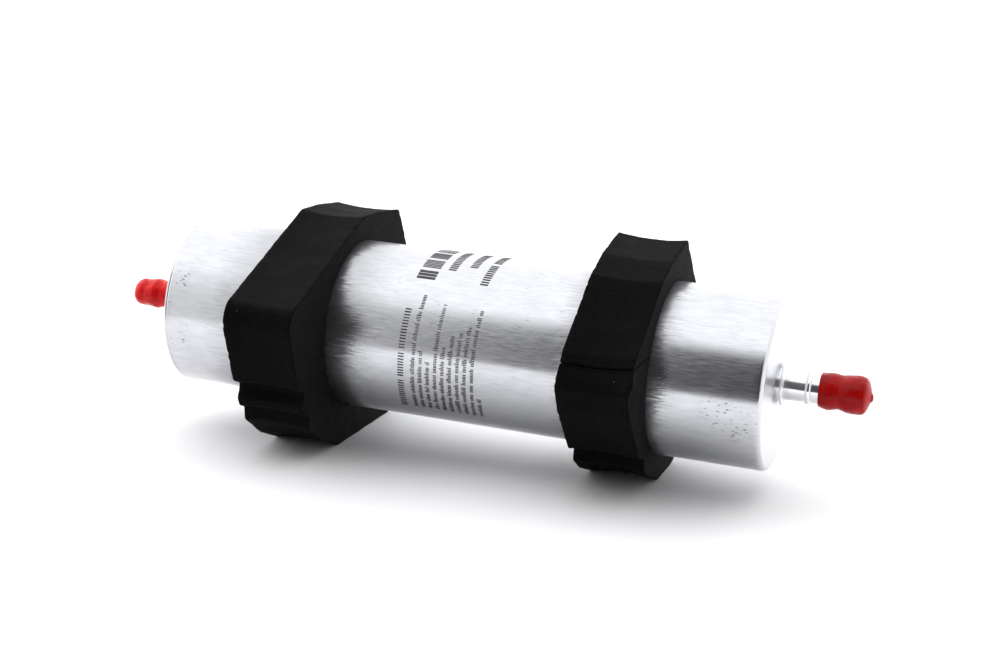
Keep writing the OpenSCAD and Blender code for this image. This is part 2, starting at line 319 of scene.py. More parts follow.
def brushed(name, dark, light, rough, streak=2400.0, along=70.0, wavy=0.05, lean=0.0):
    """Bare metal with short fine scratches that run along the X axis. along and streak are the scratches'
    cycles per metre along and across the part. lean is for the can only: it tips the surface along X
    from scratch to scratch, and brings with it the can's specks and pits, a painted highlight on its end
    face, and a band beside each foam ring that is darkened as a painted reflection of the ring."""
    m = Recipe(name, Metallic=1.0, Anisotropic=0.4)
    tangent = m.node("ShaderNodeTangent", {}, direction_type="RADIAL", axis="X")
    m.set("Tangent", tangent.outputs[0])
    fine = m.noise(m.stretched(along, streak, streak), detail=3.0)
    broad = m.noise(m.stretched(along * 0.6, streak * 0.2, streak * 0.2), detail=4.0, roughness=0.65)
    cloud = m.noise(m.stretched(38.0, 70.0, 70.0), detail=5.0, roughness=0.6)
    tone = m.math("ADD", m.product(fine, 0.5), m.product(broad, 0.5))
    colour = m.mix(m.ramp(tone, 0.32, 0.68), dark, light)
    colour = m.mix(m.ramp(cloud, 0.5, 0.75, 0.0, 0.4), colour, dark)
    grain = m.ramp(tone, 0.3, 0.7, rough * 1.35, rough * 0.75)
    normal = None
    if lean:
        speck = m.ramp(m.cells(m.stretched(260.0, 1300.0, 1300.0), 1.0), 0.1, 0.2, 0.45, 0.0)
        sparse = m.ramp(m.noise(m.place, scale=120.0, detail=2.0), 0.56, 0.64)
        colour = m.mix(m.product(speck, sparse), colour, SPECK_GREY)
        colour = m.mix(pitted(m), colour, PIT_GREY)
        place_x = m.node("ShaderNodeSeparateXYZ", {0: m.place}).outputs["X"]
        end_face = m.ramp(place_x, -0.9 * MM, -0.4 * MM)
        # The inlet end face is lighter: painted highlight
        colour = m.mix(end_face, colour, END_FACE_HIGHLIGHT)
        grain = m.math("ADD", grain, m.product(end_face, END_FACE_ROUGHER))
        ring_band = near_rings(m, place_x)
        grain = m.math("ADD", grain, m.product(ring_band, RING_BAND_ROUGHER))
        # Darker beside the foam rings: painted reflection of the dark rings
        colour = m.mix(m.product(ring_band, RING_REFLECTION_DARKER), colour, BLACK)
        lean = m.math("ADD", lean, m.product(ring_band, RING_BAND_LEAN))
        normal = m.lean(m.noise(m.stretched(along, streak, streak), detail=3.0), lean)
    m.set("Base Color", colour)
    m.set("Roughness", grain)
    waves = m.noise(m.place, scale=45.0, detail=2.0)
    m.bump((waves, wavy), (broad, SCRATCH_DEPTH * 2.5), (fine, SCRATCH_DEPTH), normal=normal)
    return m.material


RING_BANDS = (("inlet_foam_ring", 7.5), ("outlet_foam_ring", 20.0))   # how far beside each ring
RAGGED = 16.0       # the noise moves the band's edge by up to half of this either way


def near_rings(m, place_x):
    """1 beside the foam rings' places at rest, and 0 beyond the band's ragged reach. The band darkens
    the can as a painted reflection of the dark rings.
    """
    ragged = m.noise(m.stretched(60.0, 2400.0, 2400.0), detail=3.0)
    ragged = m.product(m.math("SUBTRACT", ragged, 0.5), RAGGED * MM)
    total = 0.0
    for ring, reach in RING_BANDS:
        low, high = (float(corner[0]) for corner in span(ring))
        away = m.math("ABSOLUTE", m.math("SUBTRACT", place_x, (low + high) / 2 * MM))
        away = m.math("ADD", away, ragged)
        half = (high - low) / 2
        ring_band = m.ramp(away, (half + reach * 0.35) * MM, (half + reach) * MM, 1.0, 0.0)
        total = m.math("ADD", total, ring_band)
    return total


# Middle and reach of each crowd of pits
PIT_PLACES = ((-11.5, -27.2, -4.2, 7.0), (-15.5, -27.3, -3.0, 5.0), (-6.0, -26.4, -8.5, 7.0),
              (-193.0, -24.5, 12.5, 4.5), (-194.0, -26.4, -7.7, 4.0))


def pitted(m):
    """Share of dark pits: most crowd together low on the front near the inlet end, some near the outlet
    end."""
    crowd = None
    for *place, reach in PIT_PLACES:
        away = m.node("ShaderNodeVectorMath", {0: m.place, 1: [v * MM for v in place]},
                      operation="DISTANCE").outputs["Value"]
        near = m.ramp(away, reach * 0.5 * MM, reach * MM, 1.0, 0.0)
        crowd = near if crowd is None else m.math("MAXIMUM", crowd, near)
    spot = m.ramp(m.cells(m.stretched(520.0, 1000.0, 1000.0), 1.0), 0.24, 0.34, 1.0, 0.0)
    patchy = m.ramp(m.noise(m.place, scale=330.0, detail=2.0), 0.42, 0.5)
    return m.product(m.product(crowd, spot), m.product(patchy, 0.6))


def plated(name, dark, light, rough):
    """Pressed or plated steel: faint grain and clouded patches."""
    m = Recipe(name, Metallic=1.0)
    grain = m.noise(m.place, scale=2500.0, detail=3.0)
    cloud = m.noise(m.place, scale=160.0, detail=4.0, roughness=0.6)
    m.set("Base Color", m.mix(m.ramp(cloud, 0.35, 0.65), dark, light))
    m.set("Roughness", m.ramp(cloud, 0.3, 0.7, rough * 0.8, rough * 1.2))
    m.bump((cloud, 0.02), (grain, 0.006))
    return m.material


def foam_material():
    """Black closed-cell foam: skin with fine cells, greyer on the sawn end faces and lighter there still as
    painted light from the side, duller where it faces up, lighter on top from dust and painted sheen, and
    with a few pale specks."""
    m = Recipe("black_foam", IOR=1.4, Specular_IOR_Level=0.06)
    cells = m.cells(m.place, 2600.0)
    grain = m.noise(m.place, scale=1300.0, detail=4.0, roughness=0.7)
    rub = m.noise(m.place, scale=70.0, detail=3.0)
    colour = m.mix(m.ramp(grain, 0.35, 0.65), (0.0018, 0.0018, 0.0018), (0.004, 0.004, 0.0039))
    colour = m.mix(m.ramp(rub, 0.55, 0.8, 0.0, 0.3), colour, (0.009, 0.009, 0.0087))
    normal = m.node("ShaderNodeNewGeometry", {}).outputs["Normal"]
    facing = m.node("ShaderNodeSeparateXYZ", {0: normal}).outputs
    up = facing["Z"]
    # The sawn end faces are greyer, and lighter still as painted light from the side
    sawn_side_lit = m.ramp(m.math("ABSOLUTE", facing["X"]), 0.85, 0.98)
    colour = m.mix(sawn_side_lit, colour, (0.0075, 0.0075, 0.0076))
    # Lighter where the foam faces up: dust, and painted sheen of the light from above
    dust_and_sheen = m.product(m.ramp(up, 0.84, 1.0), m.ramp(rub, 0.3, 0.7, 0.6, 1.0))
    colour = m.mix(dust_and_sheen, colour, (0.0095, 0.0095, 0.009))
    speck = m.ramp(m.cells(m.place, 330.0), 0.05, 0.075, 1.0, 0.0)
    thin = m.ramp(m.noise(m.place, scale=210.0, detail=1.0), 0.6, 0.66)
    colour = m.mix(m.product(speck, thin, 0.3), colour, (0.2, 0.2, 0.2))
    m.set("Base Color", colour)
    m.set("Specular IOR Level", m.ramp(up, 0.0, 0.5, 0.06, 0.042))
    m.set("Roughness", m.ramp(grain, 0.3, 0.7, 0.85, 0.68))
    m.bump((grain, 0.08), (cells, 0.04))
    return m.material


def vinyl_material(name, dark, light):
    """Dip-moulded red vinyl: softly glossy and a little uneven, with pinprick bubbles."""
    m = Recipe(name, IOR=1.46, Specular_IOR_Level=0.14, Coat_Weight=0.06, Coat_Roughness=0.1,
               Subsurface_Weight=0.05, Subsurface_Scale=0.002)
    m.shader.inputs["Subsurface Radius"].default_value = (1.0, 0.2, 0.1)
    flow = m.noise(m.stretched(90.0, 260.0, 260.0), detail=3.0)
    lump = m.noise(m.place, scale=420.0, detail=2.0)
    colour = m.mix(m.ramp(flow, 0.35, 0.7), dark, light)
    bubble = m.ramp(m.cells(m.place, 900.0), 0.06, 0.1, 1.0, 0.0)
    colour = m.mix(m.product(bubble, 0.3), colour, (0.2, 0.0, 0.001))
    m.set("Base Color", colour)
    m.set("Roughness", m.ramp(flow, 0.3, 0.7, 0.24, 0.38))
    m.bump((lump, 0.12), (flow, 0.08))
    return m.material


def rubber_material():
    """Moulded nitrile rubber of the seals."""
    m = Recipe("seal_rubber", IOR=1.5)
    grain = m.noise(m.place, scale=1800.0, detail=3.0)
    bloom = m.noise(m.place, scale=240.0, detail=3.0)
    m.set("Base Color", m.mix(m.ramp(bloom, 0.4, 0.7), (0.012, 0.012, 0.013), (0.035, 0.035, 0.036)))
    m.set("Roughness", m.ramp(grain, 0.3, 0.7, 0.45, 0.65))
    m.bump((grain, 0.01))
    return m.material


def resin_material():
    """Tan potting resin with trapped bubbles."""
    m = Recipe("potting", IOR=1.5)
    swirl = m.noise(m.place, scale=150.0, detail=3.0)
    bubble = m.ramp(m.cells(m.place, 520.0), 0.08, 0.16, 1.0, 0.0)
    colour = m.mix(m.ramp(swirl, 0.35, 0.65), (0.42, 0.32, 0.17), (0.6, 0.48, 0.28))
    m.set("Base Color", m.mix(m.product(bubble, 0.5), colour, (0.25, 0.18, 0.09)))
    m.set("Roughness", m.ramp(swirl, 0.3, 0.7, 0.35, 0.55))
    m.bump((swirl, 0.08), (bubble, -0.1))
    return m.material


def paper_material():
    """Resin-treated filter paper: crossed fibres."""
    m = Recipe("filter_paper", IOR=1.45)
    one = m.noise(m.stretched(300.0, 2600.0, 2600.0), detail=3.0)
    other = m.noise(m.stretched(2600.0, 500.0, 500.0), detail=3.0)
    fibre = m.product(one, other)
    m.set("Base Color", m.mix(m.ramp(fibre, 0.15, 0.35), (0.58, 0.44, 0.22), (0.78, 0.66, 0.42)))
    m.set("Roughness", m.ramp(fibre, 0.1, 0.4, 0.95, 0.8))
    m.bump((fibre, 0.08))
    return m.material


def band_material():
    """Off-white plastic bands with a moulded grain."""
    m = Recipe("band_plastic", IOR=1.47)
    grain = m.noise(m.place, scale=1500.0, detail=3.0)
    cloud = m.noise(m.place, scale=90.0, detail=2.0)
    m.set("Base Color", m.mix(m.ramp(cloud, 0.4, 0.6), (0.72, 0.71, 0.64), (0.82, 0.81, 0.75)))
    m.set("Roughness", m.ramp(grain, 0.3, 0.7, 0.45, 0.6))
    m.bump((grain, 0.02))
    return m.material


def ink_material():
    """Black print, a little broken where it is thin."""
    m = Recipe("ink", IOR=1.5)
    thin = m.noise(m.place, scale=1600.0, detail=3.0, roughness=0.6)
    m.set("Base Color", m.mix(m.ramp(thin, 0.5, 0.75), (0.012, 0.012, 0.014), (0.1, 0.1, 0.105)))
    m.set("Roughness", m.ramp(thin, 0.3, 0.7, 0.35, 0.5))
    m.bump((thin, 0.004))
    return m.material


can_metal = brushed("can_aluminium", (0.54, 0.545, 0.57), (0.68, 0.685, 0.71), 0.16, along=240.0,
                    lean=0.1)
lid_metal = brushed("lid_aluminium", (0.5, 0.505, 0.52), (0.64, 0.645, 0.66), 0.3, along=900.0,
                    streak=900.0)
tube_metal = brushed("tube_aluminium", (0.78, 0.785, 0.8), (0.9, 0.905, 0.92), 0.1, wavy=0.01)
zinc = plated("zinc_steel", (0.8, 0.81, 0.82), (0.9, 0.91, 0.92), 0.42)
pressed_steel = plated("pressed_steel", (0.42, 0.43, 0.44), (0.56, 0.57, 0.58), 0.32)
spring_steel = plated("spring_steel", (0.2, 0.21, 0.22), (0.33, 0.34, 0.36), 0.28)
foam = foam_material()
vinyl = vinyl_material("red_vinyl", (0.28, 0.0005, 0.0004), (0.42, 0.001, 0.0008))
# The outlet cap's vinyl is paler than the inlet cap's: painted light from the lamp on the left
lit_cap_vinyl = vinyl_material("painted_lit_red_vinyl", (0.52, 0.004, 0.005), (0.74, 0.008, 0.01))
rubber = rubber_material()
resin = resin_material()
paper = paper_material()
band_plastic = band_material()
ink = ink_material()


# --- Camera, floor and light -----------------------------------------------------------------

AZIMUTH, ELEVATION, ROLL = (math.radians(a) for a in (18.608, 14.606, 3.403))
DISTANCE = 600.9
MIDDLE_X = -CAN_LEN / 2 + 0.45   # what the distance is measured to
OFFSET_RIGHT, OFFSET_UP = 7.034, 2.129
LENS, SENSOR = 66.6, 36.0
NEAREST, FARTHEST = 0.01, 50


def make_camera():
    """Stands in front, to the right of the can's middle and above it, rolled a little."""
    back = np.array([math.sin(AZIMUTH) * math.cos(ELEVATION),
                     -math.cos(AZIMUTH) * math.cos(ELEVATION), math.sin(ELEVATION)])
    right = np.cross(-back, (0, 0, 1))
    right /= np.linalg.norm(right)
    up = np.cross(back, right)
    right, up = (math.cos(ROLL) * right + math.sin(ROLL) * up,
                 math.cos(ROLL) * up - math.sin(ROLL) * right)
    place = np.array([MIDDLE_X, 0, 0]) + back * DISTANCE + right * OFFSET_RIGHT + up * OFFSET_UP
    data = bpy.data.cameras.new("camera")
    data.lens, data.sensor_width = LENS, SENSOR
    data.clip_start, data.clip_end = NEAREST, FARTHEST
    camera = bpy.data.objects.new("camera", data)
    matrix = Matrix.Identity(4)
    for column, axis in enumerate((right, up, back)):
        for row in range(3):
            matrix[row][column] = axis[row]
    matrix.translation = Vector(place * MM)
    camera.matrix_world = matrix
    bpy.context.scene.collection.objects.link(camera)
    bpy.context.scene.camera = camera


FLOOR_FRONT = -179.0
FLOOR_REACH = 6000.0
FLOOR_WHITE = (0.77, 0.77, 0.773, 1.0)


def make_floor():
    """Pale table top. Its front edge is below the picture, and only the can's reflection shows it."""
    mesh = bpy.data.meshes.new("floor")
    sides = ((-FLOOR_REACH, FLOOR_FRONT), (FLOOR_REACH, FLOOR_FRONT),
             (FLOOR_REACH, FLOOR_REACH), (-FLOOR_REACH, FLOOR_REACH))
    mesh.from_pydata([(x * MM, y * MM, floor_z(x) * MM) for x, y in sides], [], [(0, 1, 2, 3)])
    floor = bpy.data.objects.new("floor", mesh)
    bpy.context.scene.collection.objects.link(floor)
    white = Recipe("floor_white", Base_Color=FLOOR_WHITE, Roughness=0.7)
    mesh.materials.append(white.material)


DARK_MIDDLE = math.radians(8)   # the dark front's middle, to the right of straight ahead
COOL_WHITE = (0.985, 0.99, 1.0, 1.0)
WHITE = (1.0, 1.0, 1.0, 1.0)
# Where the lamp on the left and the lit wall behind start to fade and end, as parts of a direction
LAMP_EDGES = (-0.95, -0.6)
BEHIND_EDGES = (-0.8, -0.2)
# The same for the rise from the walls to the ceiling, and the ceiling's brightness
MIRRORED_CEILING = (0.58, 0.88, 1.55)
SOFT_CEILING = (0.75, 0.97, 2.25)


def make_light():
    """A white room, dark in front of the object, with a bright ceiling, a lit back wall and a light
    from the left. Mirrored light has its own, sharper room, and what the camera sees is plain white."""
    world = bpy.data.worlds.new("studio")
    world.use_nodes = True
    bpy.context.scene.world = world
    tree = world.node_tree
    tree.nodes.clear()
    place = add_node(tree, "ShaderNodeTexCoord", {}).outputs["Generated"]
    level = add_node(tree, "ShaderNodeVectorMath", {0: place, 1: (1, 1, 0)}, operation="MULTIPLY")
    level = add_node(tree, "ShaderNodeVectorMath", {0: level.outputs[0]}, operation="NORMALIZE")
    forward = add_node(tree, "ShaderNodeVectorMath",
                       {0: level.outputs[0], 1: (math.sin(DARK_MIDDLE), -math.cos(DARK_MIDDLE), 0)},
                       operation="DOT_PRODUCT").outputs["Value"]
    sideways = add_node(tree, "ShaderNodeSeparateXYZ", {0: level.outputs[0]}).outputs["X"]
    height = add_node(tree, "ShaderNodeSeparateXYZ", {0: place}).outputs["Z"]

    def blend(value, start, end, at_start, at_end):
        """A smooth step."""
        return add_node(tree, "ShaderNodeMapRange",
                        {"Value": value, "From Min": start, "From Max": end, "To Min": at_start,
                         "To Max": at_end}, interpolation_type="SMOOTHSTEP").outputs["Result"]

    def wall(dark_to, light_from, dark, light, lamp, behind):
        """Brightness near the horizon: dark in front up to the first angle, light from the second on,
        with a lamp on the left and a lit wall behind."""
        total = blend(forward, math.cos(math.radians(light_from)), math.cos(math.radians(dark_to)),
                      light, dark)
        for other in (blend(sideways, *LAMP_EDGES, lamp, 0.0), blend(forward, *BEHIND_EDGES, behind, 0.0)):
            total = add_node(tree, "ShaderNodeMath", {0: total, 1: other}, operation="ADD").outputs[0]
        return total

    def room(walls, wall_top, ceiling_from, ceiling):
        """Background light that goes over from the walls to the ceiling."""
        share = blend(height, wall_top, ceiling_from, 0.0, 1.0)
        strength = add_node(tree, "ShaderNodeMix", {0: share, 2: walls, 3: ceiling}).outputs[0]
        return add_node(tree, "ShaderNodeBackground",
                        {"Color": COOL_WHITE, "Strength": strength}).outputs[0]

    mirrored = room(wall(dark_to=13, light_from=42, dark=0.07, light=1.25, lamp=0.8, behind=0.3),
                    *MIRRORED_CEILING)
    soft = room(wall(dark_to=45, light_from=92, dark=0.13, light=1.95, lamp=1.7, behind=0.5),
                *SOFT_CEILING)
    path = add_node(tree, "ShaderNodeLightPath", {})
    lit = add_node(tree, "ShaderNodeMixShader", {0: path.outputs["Is Glossy Ray"], 1: soft, 2: mirrored})
    seen = add_node(tree, "ShaderNodeBackground", {"Color": WHITE, "Strength": 1.0})
    mix = add_node(tree, "ShaderNodeMixShader",
                   {0: path.outputs["Is Camera Ray"], 1: lit.outputs[0], 2: seen.outputs[0]})
    add_node(tree, "ShaderNodeOutputWorld", {"Surface": mix.outputs[0]})


bpy.context.scene.view_settings.view_transform = "Standard"
make_camera()
make_floor()
make_light()


# --- Can, lid and spigots --------------------------------------------------------------------

def can_skin(x, r, a):
    """Slight unevenness of the drawn wall, outside only and never past the CAD's radius."""
    between_ends = (x < -END_ROUND) & (x > -CAN_LEN + END_ROUND)
    outside = between_ends & (r > CAN_R - 0.3)
    oval = 0.03 * np.sin(2 * a + x * 0.03)
    wave = 0.015 * np.sin(5 * a + 1.3 - x * 0.05)
    return x, np.where(outside, r - 0.045 + (oval + wave), r)


def make_can():
    """Drawn can with a closed inlet end and, at the outlet end, a rolled rim with a fine line beside it."""
    far = -CAN_LEN
    bore = CAN_R - WALL
    mouth = bore + LID_STEP
    hole = INLET_R + STEM_MORE + SLIP
    groove_x = far + RIM_ROUND + 0.3
    between = [[x, CAN_R, 0] for x in np.linspace(-END_ROUND - 2, groove_x + 2, 24)]
    profile = [
        [0, hole, 0.3], [0, CAN_R, END_ROUND], *between, [groove_x + LINE_HALF, CAN_R, 0.1],
        [groove_x, CAN_R - LINE_DEPTH, 0.08], [groove_x - LINE_HALF, CAN_R, 0.1],
        [far, CAN_R, RIM_ROUND], [far, CAN_R - RIM_W, 0.45], [far + RIM_T, CAN_R - RIM_W, 0.2],
        [far + RIM_T, mouth, 0.1], [far + RIM_T + LID_T, mouth, 0.1], [far + RIM_T + LID_T, bore, 0.1],
        [-END_WALL, bore, 0.8], [-END_WALL, hole, 0.1]]
    turned("can_skin", profile, can_metal, ["can"], sides=256, change=can_skin)


def make_lid():
    """End plate with a raised middle and a groove in its edge for the O-ring."""
    inner = -RIM_T - LID_T
    edge = CAN_R - WALL + LID_STEP - SLIP
    seal = edge - LID_GROOVE_DEPTH
    seal_from, seal_to = LID_GROOVE
    hole = OUTLET_R + STEM_MORE + SLIP
    profile = [
        [0, hole, 0.3], [0, BOSS_R - 1, 0.5], [-1, BOSS_R, 0.4], [-RIM_T, edge, 0.2],
        [seal_from, edge, 0.15], [seal_from, seal, 0.2], [seal_to, seal, 0.2], [seal_to, edge, 0.15],
        [inner, edge, 0.4], [inner, seal - 2, 0.3], [inner + 3, seal - 3, 0.6],
        [inner + 3, BOSS_R, 0.6], [inner, BOSS_R, 0.3], [inner, hole, 0.2]]
    turned("outlet_lid_turned", profile, lid_metal, ["outlet_lid"], mirror=True)


def make_spigot(name, node, radius, tip, wall, stub, stub_r, mirror):
    """Tube with a stop bead, held from inside by its flange. wall is how far in the flange's face lies,
    and stub the length of what goes on behind it."""
    groove = radius + STEM_MORE + GROOVE_MORE
    bottom = -wall - GROOVE_DEEP
    back = -wall - FLANGE_T
    bead = [[BEAD_X + BEAD_HALF * math.cos(t), radius + BEAD_MORE * math.sin(t), 0]
            for t in np.linspace(math.pi, 0, 13)]
    profile = [
        [back - stub, radius - TUBE_WALL, 0.2], [back - stub, stub_r, 0.3], [back, stub_r, 0.3],
        [back, radius + FLANGE_MORE, 0.3], [-wall, radius + FLANGE_MORE, 0.2],
        [-wall, groove + GROOVE_HIGH, 0.1], [bottom, groove + GROOVE_HIGH, 0.2], [bottom, groove, 0.2],
        [-wall, groove, 0.1], [-wall, radius + STEM_MORE, 0.1],
        [STEP, radius + STEM_MORE, 0.15], [STEP, radius, 0.15], *bead,
        [tip - 0.8, radius, 0.5], [tip, radius - 0.6, 0.25], [tip, radius - TUBE_WALL, 0.15]]
    if not stub:
        profile = profile[:1] + profile[3:]
        profile[0] = [back, radius - TUBE_WALL, 0.3]
    turned(name, profile, tube_metal, [node], mirror=mirror, sides=96)


def make_collar(name, node, radius, mirror):
    """Washer pushed on behind the tube."""
    edge = radius + COLLAR_MORE
    profile = [[STEP, radius + SLIP, 0.1], [STEP, edge, 0.3], [STEP + COLLAR_T, edge, 0.3],
               [STEP + COLLAR_T, radius + SLIP, 0.15]]
    turned(name, profile, zinc, [node], mirror=mirror, sides=96)


def make_o_ring(name, node, x, ring_r, cord_r, mirror):
    """O-ring of a round cord. ring_r reaches to the cord's middle."""
    profile = [[x + cord_r * math.cos(t), ring_r + cord_r * math.sin(t), 0]
               for t in np.linspace(0, 2 * math.pi, 20, endpoint=False)]
    turned(name, profile, rubber, [node], mirror=mirror, sides=96)


INLET_TIP = span("inlet_spigot")[1][0]
OUTLET_TIP = -CAN_LEN - span("outlet_spigot")[0][0]
LID_IN = RIM_T + LID_T
STEM_SEAL_IN = 0.65     # how far the stem seals' middle lies behind the flange's face
STEM_SEAL_MORE = 1.8
LID_SEAL_X = -4.1
LID_SEAL_R = CAN_R - WALL + LID_STEP - 1.1
make_can()
make_lid()
make_spigot("inlet_tube", "inlet_spigot", INLET_R, INLET_TIP, END_WALL, stub=0, stub_r=0, mirror=False)
make_spigot("outlet_tube", "outlet_spigot", OUTLET_R, OUTLET_TIP, LID_IN, STUB_LEN, STUB_R, mirror=True)
make_collar("inlet_washer", "inlet_collar", INLET_R, mirror=False)
make_collar("outlet_washer", "outlet_collar", OUTLET_R, mirror=True)
make_o_ring("inlet_stem_ring", "inlet_stem_seal", -END_WALL - STEM_SEAL_IN, INLET_R + STEM_SEAL_MORE,
            cord_r=0.6, mirror=False)
make_o_ring("outlet_stem_ring", "outlet_stem_seal", -LID_IN - STEM_SEAL_IN, OUTLET_R + STEM_SEAL_MORE,
            cord_r=0.6, mirror=True)
make_o_ring("lid_ring", "lid_seal", LID_SEAL_X, LID_SEAL_R, cord_r=1.0, mirror=True)


# --- Caps ------------------------------------------------------------------------------------

PER_SPAN = 8        # points of a smooth line from one given point to the next
CAP_SIDES = 128
LIP_REACH = 2.2     # how far the lip's unevenness reaches along the cap
LIP_WAVE = 0.35


def smooth_line(points):
    """Curve through the points."""
    p = np.array([points[0], *points, points[-1]], float)
    out = []
    for i in range(1, len(p) - 2):
        for t in np.linspace(0, 1, PER_SPAN, endpoint=False):
            a, b, c, d = p[i - 1:i + 3]
            out.append(0.5 * (2 * b + (c - a) * t + (2 * a - 5 * b + 4 * c - d) * t * t
                              + (3 * b - a - 3 * c + d) * t ** 3))
    return [*out, p[-2]]


def make_cap(name, node, body, material, tube_r, tip, shape, nub, droop, seed, mirror):
    """Dipped cap: a lofted shell with a rolled open lip. shape is its outline as [x from the tube's tip,
    radius]. nub is how far the drip on the end is off the axis, and droop how far the end hangs."""
    outer = smooth_line(shape)
    bore = tube_r + SLIP
    lip_x, lip_r = shape[0]
    inner = [[0.06, 0.0], [0.06, tube_r - 0.9], [-0.2, tube_r - 0.3], [-1.0, bore], [-4.0, bore],
             [-8.0, bore], [lip_x + 0.8, bore], [lip_x + 0.15, bore + 0.12]]
    lip_mid = [lip_x - 0.12, (bore + lip_r) / 2]
    line = np.array([*outer[::-1], lip_mid, *inner[::-1]])
    points = []
    for k, (x, r) in enumerate(line):
        share = 1.0 if k < len(outer) else 0.0
        near_lip = math.exp(-((x - lip_x) / LIP_REACH) ** 2)
        for j in range(CAP_SIDES):
            a = 2 * math.pi * j / CAP_SIDES
            here = Vector((x * 0.28, math.cos(a) * 1.3, math.sin(a) * 1.3 + seed))
            lump = noise.noise(here) * 0.28 + noise.noise(here * 2.7) * 0.1
            radius = r + share * lump * min(1.0, r / 3)
            edge = LIP_WAVE * noise.noise(Vector((math.cos(a), math.sin(a), seed * 3))) * near_lip
            drop = (nub * max(0.0, 1 - r / 2.5) - droop * (1 - x / lip_x)) * share
            points.append((tip + x + edge, -radius * math.cos(a), radius * math.sin(a) + drop))
    points = np.array(points)
    if mirror:
        points[:, 0] = -CAN_LEN - points[:, 0]
    faces = grid_faces(len(line), CAP_SIDES, False, True)
    make_piece(name, points, faces, material, body, [node])


INLET_CAP = [[-14.2, 5.3], [-13.3, 5.5], [-11.4, 5.75], [-10.1, 5.65], [-8.4, 5.3], [-6.8, 5.6],
             [-5, 5.95], [-2.6, 5.95], [-1, 5.7], [-0.4, 5.4], [0.15, 4.6], [0.6, 3.5], [0.95, 2.5],
             [1.15, 1.8], [1.45, 1.3], [1.74, 0.95], [1.88, 0.5], [1.92, 0.0]]
OUTLET_CAP = [[-12.4, 4.75], [-11.4, 4.6], [-9.5, 4.5], [-8, 4.9], [-7, 5.05], [-5.5, 4.85],
              [-3.6, 4.55], [-2.4, 4.55], [-1, 4.4], [0, 3.9], [0.7, 3.0], [1.1, 1.9], [1.28, 0.8],
              [1.32, 0.0]]
make_cap("inlet_cap_shell", "inlet_cap", "inlet_cap_body", vinyl, INLET_R, INLET_TIP, INLET_CAP,
         nub=-0.5, droop=0.0, seed=4.0, mirror=False)
make_cap("outlet_cap_shell", "outlet_cap", "outlet_cap_body", lit_cap_vinyl, OUTLET_R, OUTLET_TIP,
         OUTLET_CAP, nub=0.0, droop=0.4, seed=9.0, mirror=True)


# --- Foam rings ------------------------------------------------------------------------------

EDGE_R = 0.4
BORE_EDGE_R = 0.3
SAG = 0.85                     # how hollow the outer faces are across the ring
OUTLINE_STEP = 0.6
CUT_Z = 9.2
CUT_GAP = 0.32
CUT_LIPS = [0.0, 0.06, 0.18, 0.36, 0.6]   # distances from the cut's face over which its edge rounds off
LIP_DEPTH = 0.6
CUT_TILT, CUT_BOW = 0.5, 0.9   # how much the cut leans and bends across the ring
CUT_REACH = 9.0                # how far round the ring the sweep turns towards the cut
# The ring follows the floor's slope fully at its foot, and not at all FOOT_FROM above it
FOOT_FROM, FOOT_BLEND = 12, 10
# Outlines as [y, z, fillet radius]
INLET_OUTLINE = [
    [11.6, 38.9, 1.5], [-6, 35.4, 6], [-17.4, 30.8, 5], [-42.4, 12.4, 5], [-48.8, 3.2, 4],
    [-43.7, -6, 8], [-29.1, -21.9, 1], [-22.9, -23.5, 1], [-22.9, -27.5, 1.5], [-15.5, -32, 5],
    [-3, FEET[1][1], 6], [17.3, FEET[1][1], 10], [38, -17, 8], [37.5, 13, 8]]
OUTLET_OUTLINE = [
    [31.2, 33.1, 3], [12, 35.1, 12], [0.6, 35.4, 3], [-56, 12.8, 7], [-46.1, -12, 1],
    [-41.3, -13.9, 1], [-42.7, -18.6, 1.5], [-41.3, -21.3, 1], [-37.8, -22.7, 0.8],
    [-37.2, -27, 2.5], [-26, -34.4, 5], [-13.5, FEET[0][1], 6], [32, FEET[0][1], 6],
    [42.5, -9, 8], [42.2, 14.2, 8]]


def ring_section(half):
    """Ring's section as (x, face, depth, on edge). face is 0 at the outline and 1 at the bore, and depth
    is how far the point lies inside that face."""
    flat = half - EDGE_R
    bore = half - BORE_EDGE_R
    out = [(x, 0.0, SAG * (1 - (x / flat) ** 2), 0.0) for x in np.linspace(-flat, flat, 19)[:-1]]
    for side in (1, -1):
        arc = [(side * (flat + EDGE_R * math.sin(t)), 0.0, EDGE_R * (1 - math.cos(t)), 1.0)
               for t in np.linspace(0, math.pi / 2, 6)]
        face = [(side * half, f, None, 0.0) for f in np.linspace(0, 1, 16)[1:-1]]
        lip = [(side * (bore + BORE_EDGE_R * math.cos(t)), 1.0, BORE_EDGE_R * (1 - math.sin(t)), 0.3)
               for t in np.linspace(0, math.pi / 2, 4)]
        half_loop = arc + face + lip
        if side > 0:
            out += half_loop + [(x, 1.0, 0.0, 0.0) for x in np.linspace(bore, -bore, 12)[1:-1]]
        else:
            out += half_loop[::-1]
    return out


def stations(outline, cut_z):
    """Points round the outline, with the inward direction and the bore angle that belong to each. A cut
    ring's points start and end at its cut."""
    line = resample(rounded(outline), OUTLINE_STEP)
    if cut_z is not None:
        front = [i for i in range(len(line)) if line[i][0] < -CAN_R and
                 (line[i][1] - cut_z) * (line[(i + 1) % len(line)][1] - cut_z) <= 0]
        line = np.roll(line, -front[0] - 1, axis=0)
    after, before = np.roll(line, -1, axis=0), np.roll(line, 1, axis=0)
    along = after - before
    inward = np.column_stack([-along[:, 1], along[:, 0]])
    inward /= np.linalg.norm(inward, axis=1)[:, None]
    inward *= np.sign(-(inward * line).sum(1))[:, None]
    angle = np.unwrap(np.arctan2(line[:, 1], line[:, 0]))
    return line, inward, angle


